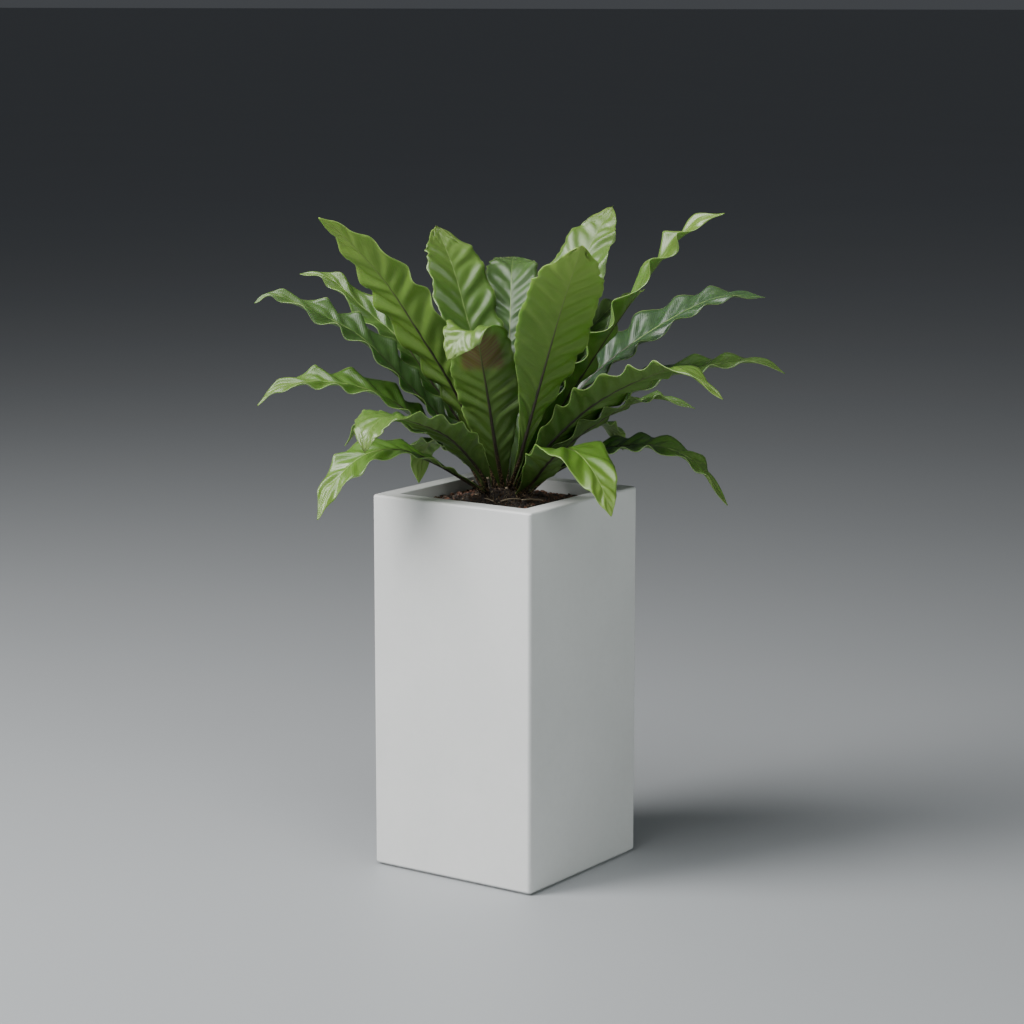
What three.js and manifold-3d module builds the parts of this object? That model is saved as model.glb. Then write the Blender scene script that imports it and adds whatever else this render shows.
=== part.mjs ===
// A bird's nest fern in a tall square planter. Millimetres, +Z up.
// The origin is the centre of the planter's underside, and the planter's sides lie along X and Y.
import * as THREE from 'three';
import { mergeVertices } from 'three/addons/utils/BufferGeometryUtils.js';
import Module from 'manifold-3d';

const wasm = await Module();
wasm.setup();

// Planter
const HALF = 150; // half the planter's side
const HEIGHT = 600;
const RIM_WIDTH = 31;
const RIM_DEPTH = 40;
const WALL = 12;
const FLOOR = 20;
const FOOT_HEIGHT = 3;
const FOOT_INSET = 7;
const EDGE = 4; // rounding of the planter's edges
const CORNER = 6; // rounding of its upright corners
const DRAIN_RADIUS = 8;
const DRAIN_AT = 70;

// Filling
const GAP = 0.3; // between pieces that touch
const GRAVEL_TOP = 120;
const SOIL_AT_WALL = 580;
const SOIL_AT_CROWN = 588;
const SOIL_STEPS = 14; // of its mounded top, along each side
const CROWN_RADIUS = 42;
const CROWN_HEIGHT = 14;
const CROWN_EDGE = 2; // height of the crown's upright rim
const STALK_RADII = [2, 3]; // of an old stalk, at its cut end and its foot
const STALK_CLEAR = 4; // from the crown up to an old stalk's foot
const TWIG_RADII = [0.8, 1.3];
const TWIG_CLEAR = 6; // from the soil up to a twig's middle

// Blade of a frond
const STATIONS = 26; // steps along a frond
const ACROSS = 4; // steps from margin to margin
const THICK = 1.6; // at the midrib
const MARGIN = 0.9; // at the margins
const STALK = 7; // width of a frond where it leaves the crown
const FOOT_CLEAR = 2; // from the crown up to a frond's foot
const TIP = 3; // width of its last edge
const VEIN_SLANT = 52; // degrees between a side vein and the midrib
const USUAL_SHAPE = [0.56, 1]; // where a blade is widest, and how slim it stays below that
const CURL = 1.5; // how strongly a ruffle keeps to the margin
const TAPERS = [[1.9, 1], [2.9, 0.6], [4.5, 0.5]]; // bow and shoulder of a pointed, rounded and squared tip

const RIM_INSIDE = HALF - RIM_WIDTH;
const CAVITY = HALF - WALL;
const RADIANS = Math.PI / 180;

// Each frond leaves the crown towards `turn` (degrees, anticlockwise from +X), at `ring` from its centre.
// `midrib` holds points [out, up, aside] from the crown's middle at the planter's rim.
// `roll` turns the blade about its midrib, from base to tip; `cup` raises both margins.
// `waves` counts the ruffles along a margin, `ruffle` is how far they swing, `blunt` rounds the tip (1) or
// squares it (2). `shape` says where the blade is widest and how slim it stays below that.
const FRONDS = [
  { name: 'frond_left_tall', turn: 244, ring: 14, width: 110, roll: [10, 35], cup: 12,
    waves: 9, ruffle: 7, midrib: [[64, 112], [100, 180], [150, 255], [210, 340], [275, 408], [320, 440]] },
  { name: 'frond_left_upper', turn: 195, ring: 23, width: 72, roll: [-20, -25], cup: 20,
    waves: 8, ruffle: 7.5, shape: [0.56, 1.6],
    midrib: [[75, 98], [125, 165], [175, 228], [235, 275], [300, 325], [350, 330]] },
  { name: 'frond_left_inner', turn: 172, ring: 23, width: 75, roll: [-10, -20], cup: 20,
    waves: 7, ruffle: 6, shape: [0.56, 1.8],
    midrib: [[62, 74], [112, 126], [160, 180], [212, 228], [265, 256]] },
  { name: 'frond_left_middle', turn: 221, ring: 23, width: 80, roll: [-20, -25], cup: 20,
    waves: 9, ruffle: 7.5, shape: [0.56, 1.4],
    midrib: [[60, 70], [145, 160], [220, 240], [290, 282], [360, 312], [390, 300]] },
  { name: 'frond_left_low', turn: 226, ring: 33, width: 74, roll: [-16, -20], cup: 18,
    waves: 8, ruffle: 6.5, midrib: [[70, 60], [130, 108], [205, 160], [290, 180], [355, 172], [390, 145]] },
  { name: 'frond_front_arching', turn: 260, ring: 33, width: 112, roll: [15, 0], cup: 10,
    waves: 8, ruffle: 4, blunt: 1,
    midrib: [[60, 40], [120, 95], [185, 125], [250, 142], [288, 125], [300, 92]] },
  { name: 'frond_front_drooping', turn: 243, ring: 33, width: 84, roll: [0, -20], cup: 10,
    waves: 7, ruffle: 5, midrib: [[60, 14], [125, 53], [190, 78], [250, 72], [300, 30], [325, -20]] },
  { name: 'frond_back_left_hanging', turn: 190, ring: 33, width: 62, roll: [0, 0], cup: 10,
    waves: 6, ruffle: 5, midrib: [[60, 40], [130, 82], [190, 100], [250, 92], [287, 52]] },
  { name: 'frond_back_left_low', turn: 162, ring: 33, width: 78, roll: [0, 0], cup: 8,
    waves: 6, ruffle: 4, midrib: [[65, 25], [130, 55], [190, 58], [225, 30], [238, -20]] },
  { name: 'frond_back_tall', turn: 156, ring: 14, width: 108, roll: [0, 0], cup: 14,
    waves: 9, ruffle: 4, blunt: 2, midrib: [[42, 125], [80, 195], [120, 260], [165, 338], [220, 402]] },
  { name: 'frond_back_centre', turn: 122, ring: 14, width: 92, roll: [0, 0], cup: 14,
    waves: 8, ruffle: 4, blunt: 2, shape: [0.56, 1.4],
    midrib: [[52, 98], [95, 188], [140, 274], [185, 332], [243, 348]] },
  { name: 'frond_centre_broad', turn: 325, ring: 14, width: 114, roll: [-10, -15], cup: 10,
    waves: 9, ruffle: 4, blunt: 1, shape: [0.68, 2.3],
    midrib: [[60, 55], [125, 148], [190, 240], [250, 322], [325, 413]] },
  { name: 'frond_right_tall', turn: 82, ring: 14, width: 106, roll: [10, 15], cup: 12,
    waves: 9, ruffle: 5, blunt: 1, midrib: [[50, 100], [90, 195], [138, 278], [200, 375], [255, 435]] },
  { name: 'frond_front_folded', turn: 287, ring: 14, width: 102, roll: [14, 8], cup: 8,
    waves: 8, ruffle: 4, blunt: 1,
    midrib: [[52, 78], [86, 154], [114, 210], [140, 256], [158, 268, -8], [169, 250, -24], [173, 222, -38]] },
  { name: 'frond_right_twisted', turn: 13, ring: 14, width: 100, roll: [-30, 35], cup: 16,
    waves: 8, ruffle: 11, midrib: [[58, 85], [115, 170], [175, 260], [250, 365], [305, 425], [355, 445]] },
  { name: 'frond_right_hidden', turn: 77, ring: 23, width: 70, roll: [5, 5], cup: 16,
    waves: 8, ruffle: 6, shape: [0.56, 1.8], midrib: [[62, 105], [140, 205], [225, 270], [305, 297]] },
  { name: 'frond_right_back', turn: 44, ring: 23, width: 88, roll: [15, 20], cup: 20,
    waves: 9, ruffle: 6, midrib: [[80, 105], [140, 180], [235, 250], [335, 298], [415, 298]] },
  { name: 'frond_right_far', turn: 30, ring: 33, width: 86, roll: [12, 10], cup: 12,
    waves: 8, ruffle: 6, midrib: [[80, 75], [150, 130], [240, 182], [320, 202], [395, 208], [435, 190]] },
  { name: 'frond_right_front', turn: 352, ring: 23, width: 96, roll: [-25, -5], cup: 12,
    waves: 9, ruffle: 7, midrib: [[60, 50], [115, 102], [185, 155], [275, 200], [355, 222], [435, 185]] },
  { name: 'frond_right_lower', turn: 9, ring: 33, width: 72, roll: [-5, 0], cup: 10,
    waves: 7, ruffle: 6, midrib: [[60, 35], [120, 90], [190, 138], [255, 162], [320, 150]] },
  { name: 'frond_right_drooping', turn: 26, ring: 36, width: 82, roll: [8, 8], cup: 10,
    waves: 7, ruffle: 5, midrib: [[70, 26], [135, 62], [190, 75], [245, 75], [300, 50], [350, -15]] },
  { name: 'frond_front_right', turn: 336, ring: 33, width: 98, roll: [-15, 10], cup: 8,
    waves: 6, ruffle: 5, midrib: [[75, 20], [130, 64], [180, 90], [230, 80], [278, 45], [305, 5]] },
  { name: 'frond_back_arching', turn: 100, ring: 23, width: 88, roll: [0, 0], cup: 14,
    waves: 8, ruffle: 6, shape: [0.56, 1.8],
    midrib: [[60, 80], [120, 150], [190, 195], [275, 205], [340, 170]] },
  { name: 'frond_back_middle', turn: 139, ring: 23, width: 86, roll: [0, 0], cup: 14,
    waves: 8, ruffle: 6, shape: [0.56, 1.8],
    midrib: [[60, 80], [120, 145], [195, 190], [275, 200], [335, 165]] },
  { name: 'frond_back_low', turn: 122, ring: 33, width: 84, roll: [0, 0], cup: 10,
    waves: 7, ruffle: 5, midrib: [[60, 35], [125, 85], [200, 112], [270, 98], [320, 45]] },
  { name: 'frond_back_right_low', turn: 78, ring: 33, width: 80, roll: [0, 0], cup: 10,
    waves: 7, ruffle: 5, midrib: [[60, 32], [125, 74], [185, 88], [235, 72], [262, 36]] },
];

// Cut stalks of old fronds: [turn, ring, lean outwards in degrees, length]
const OLD_STALKS = [
  [228, 39, 35, 26], [272, 39, 22, 34], [306, 39, 40, 22], [60, 40, 35, 24], [177, 40, 30, 26],
];

// Dry roots and twigs on the soil: [x, y, direction in degrees, length]
const TWIGS = [[36, -38, 62, 36], [6, -55, 160, 26], [61, -15, 37, 34]];

const material = (color, roughness) => new THREE.MeshStandardMaterial({ color, roughness, metalness: 0 });
const WHITE_STONE = material(0xc9cbc9, 0.5);
const CLAY = material(0x8a4f35, 0.95);
const SOIL = material(0x241b16, 1.0);
const SCALES = material(0x1d1510, 0.9);
const GREEN = material(0x4f7a2c, 0.45);
const DRY = material(0x8a7250, 0.9);

function geometryOf(points, triangles) {
  const geometry = new THREE.BufferGeometry();
  geometry.setAttribute('position', new THREE.Float32BufferAttribute(points.flat(), 3));
  geometry.setIndex(triangles.flat());
  return geometry;
}

function solidOf(geometry) {
  const bare = geometry.clone();
  bare.deleteAttribute('normal');
  bare.deleteAttribute('uv');
  const merged = mergeVertices(bare, 1e-4);
  const vertProperties = Float32Array.from(merged.attributes.position.array);
  const triVerts = Uint32Array.from(merged.index.array);
  return new wasm.Manifold(new wasm.Mesh({ numProp: 3, vertProperties, triVerts }));
}

function geometryOfSolid(solid) {
  const mesh = solid.getMesh();
  const geometry = new THREE.BufferGeometry();
  geometry.setAttribute('position', new THREE.BufferAttribute(Float32Array.from(mesh.vertProperties), 3));
  geometry.setIndex(Array.from(mesh.triVerts));
  return geometry;
}

// The points of a square with rounded corners, at one height, anticlockwise from above.
function roundedSquare(half, radius, z, steps = 4) {
  const points = [];
  for (let corner = 0; corner < 4; corner += 1) {
    const start = corner * 90;
    const cx = (half - radius) * (corner === 0 || corner === 3 ? 1 : -1);
    const cy = (half - radius) * (corner < 2 ? 1 : -1);
    for (let step = 0; step <= steps; step += 1) {
      const angle = (start + (90 * step) / steps) * RADIANS;
      points.push([cx + radius * Math.cos(angle), cy + radius * Math.sin(angle), z]);
    }
  }
  return points;
}

// A closed body skinned over rounded squares, given as [half, corner radius, z] from its underside
// round the outside to its last flat face.
function squareTurning(profile) {
  const rings = profile.map(([half, radius, z]) => roundedSquare(half, radius, z));
  const count = rings[0].length;
  const points = rings.flat();
  const triangles = [];
  for (let ring = 0; ring + 1 < rings.length; ring += 1) {
    for (let k = 0; k < count; k += 1) {
      const a = ring * count + k;
      const b = ring * count + ((k + 1) % count);
      triangles.push([a, b, b + count], [a, b + count, a + count]);
    }
  }
  const last = (rings.length - 1) * count;
  for (let k = 1; k + 1 < count; k += 1) {
    triangles.push([0, k + 1, k], [last, last + k, last + k + 1]);
  }
  return geometryOf(points, triangles);
}

// Points [half, corner radius, z] of a quarter round between two directions of a profile.
function quarterRound(half, z, radius, corner, from) {
  return [0, 1, 2, 3].map((step) => {
    const angle = (from + step * 30) * RADIANS;
    const out = half + radius * Math.cos(angle);
    return [out, corner, z + radius * Math.sin(angle)];
  });
}

function planter() {
  const shell = squareTurning([
    [HALF - FOOT_INSET, CORNER, 0],
    [HALF - FOOT_INSET, CORNER, FOOT_HEIGHT],
    ...quarterRound(HALF - EDGE, FOOT_HEIGHT + EDGE, EDGE, CORNER, -90),
    ...quarterRound(HALF - EDGE, HEIGHT - EDGE, EDGE, CORNER, 0),
    [RIM_INSIDE + 1, CORNER, HEIGHT],
    [RIM_INSIDE, CORNER, HEIGHT - 1],
    [RIM_INSIDE, CORNER, HEIGHT - RIM_DEPTH],
    [CAVITY, CORNER, HEIGHT - RIM_DEPTH],
    [CAVITY, CORNER, FLOOR],
  ]);
  let solid = solidOf(shell);
  for (const x of [-DRAIN_AT, DRAIN_AT]) {
    for (const y of [-DRAIN_AT, DRAIN_AT]) {
      const hole = new THREE.CylinderGeometry(DRAIN_RADIUS, DRAIN_RADIUS, 3 * FLOOR, 16);
      hole.rotateX(Math.PI / 2).translate(x, y, FLOOR / 2);
      solid = solid.subtract(solidOf(hole));
    }
  }
  return geometryOfSolid(solid);
}

function drainageLayer() {
  const half = CAVITY - GAP;
  return squareTurning([[half, CORNER, FLOOR + GAP], [half, CORNER, GRAVEL_TOP]]);
}

function soilHeight(x, y) {
  const away = Math.hypot(x, y);
  const rise = 1 - THREE.MathUtils.smoothstep(away, CROWN_RADIUS + 4, RIM_INSIDE);
  return SOIL_AT_WALL + (SOIL_AT_CROWN - SOIL_AT_WALL) * rise;
}

// The mounded upper soil stands inside the rim, on the wide block below it.
function soil() {
  const half = RIM_INSIDE - GAP;
  const steps = SOIL_STEPS;
  const under = HEIGHT - RIM_DEPTH - WALL;
  const points = [];
  for (const top of [false, true]) {
    for (let j = 0; j <= steps; j += 1) {
      for (let i = 0; i <= steps; i += 1) {
        const x = half * ((2 * i) / steps - 1);
        const y = half * ((2 * j) / steps - 1);
        points.push([x, y, top ? soilHeight(x, y) : under]);
      }
    }
  }
  const row = steps + 1;
  const layer = row * row;
  const triangles = [];
  for (let j = 0; j < steps; j += 1) {
    for (let i = 0; i < steps; i += 1) {
      const a = j * row + i;
      triangles.push([a, a + row, a + row + 1], [a, a + row + 1, a + 1]);
      const t = a + layer;
      triangles.push([t, t + 1, t + row + 1], [t, t + row + 1, t + row]);
    }
  }
  const edge = [];
  for (let k = 0; k < steps; k += 1) edge.push(k);
  for (let k = 0; k < steps; k += 1) edge.push(k * row + steps);
  for (let k = steps; k > 0; k -= 1) edge.push(steps * row + k);
  for (let k = steps; k > 0; k -= 1) edge.push(k * row);
  for (let k = 0; k < edge.length; k += 1) {
    const a = edge[k];
    const b = edge[(k + 1) % edge.length];
    triangles.push([a, b, b + layer], [a, b + layer, a + layer]);
  }
  // Corners are trimmed so that the soil stays clear of the rim's rounded ones.
  const rimBore = squareTurning([[half, CORNER, under - 1], [half, CORNER, HEIGHT]]);
  const upper = solidOf(geometryOf(points, triangles)).intersect(solidOf(rimBore));
  const wide = CAVITY - GAP;
  const top = HEIGHT - RIM_DEPTH - GAP;
  const lower = solidOf(squareTurning([[wide, CORNER, GRAVEL_TOP + GAP], [wide, CORNER, top]]));
  return geometryOfSolid(upper.add(lower));
}

function crownHeight(radius) {
  return SOIL_AT_CROWN + GAP + CROWN_EDGE + CROWN_HEIGHT * (1 - (radius / CROWN_RADIUS) ** 2);
}

function crown() {
  const profile = [new THREE.Vector2(0, SOIL_AT_CROWN + GAP)];
  for (let step = 0; step <= 6; step += 1) {
    const radius = CROWN_RADIUS * (1 - step / 6);
    if (step === 0) profile.push(new THREE.Vector2(radius, SOIL_AT_CROWN + GAP));
    profile.push(new THREE.Vector2(radius, crownHeight(radius)));
  }
  return new THREE.LatheGeometry(profile, 24).rotateX(Math.PI / 2);
}

// Width of a frond at u, from 0 at the crown to 1 at the tip.
function widthAt(u, { width, blunt = 0, shape: [widest, slim] = USUAL_SHAPE }) {
  const x = Math.min(1, u / widest);
  const gentle = THREE.MathUtils.smoothstep(x, 0, 1);
  const quick = 1 - (1 - x) ** 2;
  const spread = ((gentle + quick) / 2) ** slim;
  const past = Math.max(0, (u - widest) / (1 - widest));
  const [bow, shoulder] = TAPERS[blunt];
  const taper = (1 - past ** bow) ** shoulder;
  return STALK + (width - STALK) * spread * taper + (TIP - STALK) * past;
}

// The middle surface of a frond: points[station][across], from the crown to the tip.
function frondSurface(frond) {
  const turn = frond.turn * RADIANS;
  const out = new THREE.Vector3(Math.cos(turn), Math.sin(turn), 0);
  const aside = new THREE.Vector3(-Math.sin(turn), Math.cos(turn), 0);
  const place = ([away, up, side = 0]) => new THREE.Vector3(0, 0, HEIGHT + up)
    .addScaledVector(out, away)
    .addScaledVector(aside, side);
  const foot = place([frond.ring, crownHeight(frond.ring) - HEIGHT + FOOT_CLEAR]);
  const curve = new THREE.CatmullRomCurve3([foot, ...frond.midrib.map(place)], false, 'catmullrom', 0.5);
  const slope = frond.width / 2 / Math.tan(VEIN_SLANT * RADIANS) / curve.getLength();
  const points = [];
  for (let station = 0; station <= STATIONS; station += 1) {
    const u = station / STATIONS;
    const middle = curve.getPointAt(u);
    const along = curve.getTangentAt(u);
    const across = aside.clone().addScaledVector(along, -aside.dot(along)).normalize();
    const roll = THREE.MathUtils.lerp(frond.roll[0], frond.roll[1], u) * Math.min(1, 4 * u) * RADIANS;
    across.applyAxisAngle(along, roll);
    const face = new THREE.Vector3().crossVectors(along, across);
    const half = widthAt(u, frond) / 2;
    const cup = frond.cup * RADIANS;
    const swing = frond.ruffle * THREE.MathUtils.smoothstep(u, 0.1, 0.45) * Math.min(1, 8 * (1 - u));
    const row = [];
    for (let k = 0; k <= ACROSS; k += 1) {
      const v = (2 * k) / ACROSS - 1;
      const beat = frond.waves * (u - slope * Math.abs(v)) + 0.25 * Math.sign(v);
      const wave = Math.sin(2 * Math.PI * beat) * Math.abs(v) ** CURL;
      row.push(middle.clone()
        .addScaledVector(across, half * v * Math.cos(cup))
        .addScaledVector(face, half * Math.abs(v) * Math.sin(cup) + swing * wave));
    }
    points.push(row);
  }
  return points;
}

// A thin closed blade round the middle surface.
function frond(settings) {
  const middle = frondSurface(settings);
  const row = ACROSS + 1;
  const layer = (STATIONS + 1) * row;
  const sides = [[], []];
  for (let i = 0; i <= STATIONS; i += 1) {
    for (let k = 0; k <= ACROSS; k += 1) {
      const along = middle[Math.min(i + 1, STATIONS)][k].clone().sub(middle[Math.max(i - 1, 0)][k]);
      const across = middle[i][Math.min(k + 1, ACROSS)].clone().sub(middle[i][Math.max(k - 1, 0)]);
      const face = along.cross(across).normalize();
      const v = Math.abs((2 * k) / ACROSS - 1);
      const half = THREE.MathUtils.lerp(THICK, MARGIN, v) / 2;
      sides[0].push(middle[i][k].clone().addScaledVector(face, half).toArray());
      sides[1].push(middle[i][k].clone().addScaledVector(face, -half).toArray());
    }
  }
  const triangles = [];
  const quad = (a, b, c, d) => triangles.push([a, b, c], [a, c, d]);
  for (let i = 0; i < STATIONS; i += 1) {
    for (let k = 0; k < ACROSS; k += 1) {
      const a = i * row + k;
      quad(a, a + row, a + row + 1, a + 1);
      quad(layer + a, layer + a + 1, layer + a + row + 1, layer + a + row);
    }
    const left = i * row;
    const right = left + ACROSS;
    quad(left, layer + left, layer + left + row, left + row);
    quad(right, right + row, layer + right + row, layer + right);
  }
  const last = STATIONS * row;
  for (let k = 0; k < ACROSS; k += 1) {
    quad(k, k + 1, layer + k + 1, layer + k);
    quad(last + k, layer + last + k, layer + last + k + 1, last + k + 1);
  }
  return geometryOf([...sides[0], ...sides[1]], triangles);
}

// A cut stalk stands on the crown's shoulder and leans outwards.
function oldStalk([, , , length]) {
  return new THREE.CylinderGeometry(...STALK_RADII, length, 8).rotateX(Math.PI / 2).translate(0, 0, length / 2);
}

function twig([, , , length]) {
  return new THREE.CylinderGeometry(...TWIG_RADII, length, 6).rotateZ(Math.PI / 2);
}

const fern = new THREE.Group();

function add(name, geometry, look, into = fern) {
  const mesh = new THREE.Mesh(geometry, look);
  mesh.name = name;
  into.add(mesh);
  return mesh;
}

add('planter', planter(), WHITE_STONE);
add('drainage_layer', drainageLayer(), CLAY);
add('potting_soil', soil(), SOIL);
add('crown', crown(), SCALES);
for (const settings of FRONDS) add(settings.name, frond(settings), GREEN);

OLD_STALKS.forEach((stalk, index) => {
  const [turn, ring, lean] = stalk;
  const mesh = add(`old_stalk_${index + 1}`, oldStalk(stalk), DRY);
  mesh.rotation.set(0, lean * RADIANS, turn * RADIANS, 'ZYX');
  const angle = turn * RADIANS;
  mesh.position.set(ring * Math.cos(angle), ring * Math.sin(angle), crownHeight(ring) + STALK_CLEAR);
});

TWIGS.forEach((piece, index) => {
  const [x, y, direction] = piece;
  const mesh = add(`twig_${index + 1}`, twig(piece), DRY);
  mesh.rotation.z = direction * RADIANS;
  mesh.position.set(x, y, soilHeight(x, y) + TWIG_CLEAR);
});

export default fern;
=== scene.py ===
# A bird's nest fern in a tall square planter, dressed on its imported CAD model. Metres, +Z up.
import math
import random

import bpy
import numpy as np
from mathutils import Matrix, Vector, noise


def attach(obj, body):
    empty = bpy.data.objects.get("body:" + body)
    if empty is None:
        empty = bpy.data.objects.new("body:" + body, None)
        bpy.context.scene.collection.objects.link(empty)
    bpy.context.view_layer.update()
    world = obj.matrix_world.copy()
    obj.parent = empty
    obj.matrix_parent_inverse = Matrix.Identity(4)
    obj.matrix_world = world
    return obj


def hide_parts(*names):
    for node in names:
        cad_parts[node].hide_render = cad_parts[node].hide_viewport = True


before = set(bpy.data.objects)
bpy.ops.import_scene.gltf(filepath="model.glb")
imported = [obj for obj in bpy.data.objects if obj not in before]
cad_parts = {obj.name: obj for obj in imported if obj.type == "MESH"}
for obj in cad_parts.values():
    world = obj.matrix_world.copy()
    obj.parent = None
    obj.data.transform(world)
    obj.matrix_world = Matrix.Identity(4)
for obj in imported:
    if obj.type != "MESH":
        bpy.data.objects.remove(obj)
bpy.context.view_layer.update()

MM = 0.001

# Planter and filling, in millimetres, as the CAD has them
HALF = 150
HEIGHT = 600
RIM_WIDTH = 31
RIM_DEPTH = 40
WALL = 12
FLOOR = 20
FOOT_HEIGHT = 3
FOOT_INSET = 7
EDGE = 4
CORNER = 6
DRAIN_RADIUS = 8
DRAIN_AT = 70
GRAVEL_TOP = 120
SOIL_AT_WALL = 580
SOIL_AT_CROWN = 588
CROWN_RADIUS = 42
CROWN_HEIGHT = 14
STALK = 7
RIM_INSIDE = HALF - RIM_WIDTH
CAVITY = HALF - WALL

# The viewpoint
CAMERA_AT = (2.5647, -3.6528, 1.3599)
CAMERA_AZIMUTH = 34.949
CAMERA_DOWN = 10.096
LENS = 100.98

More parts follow.
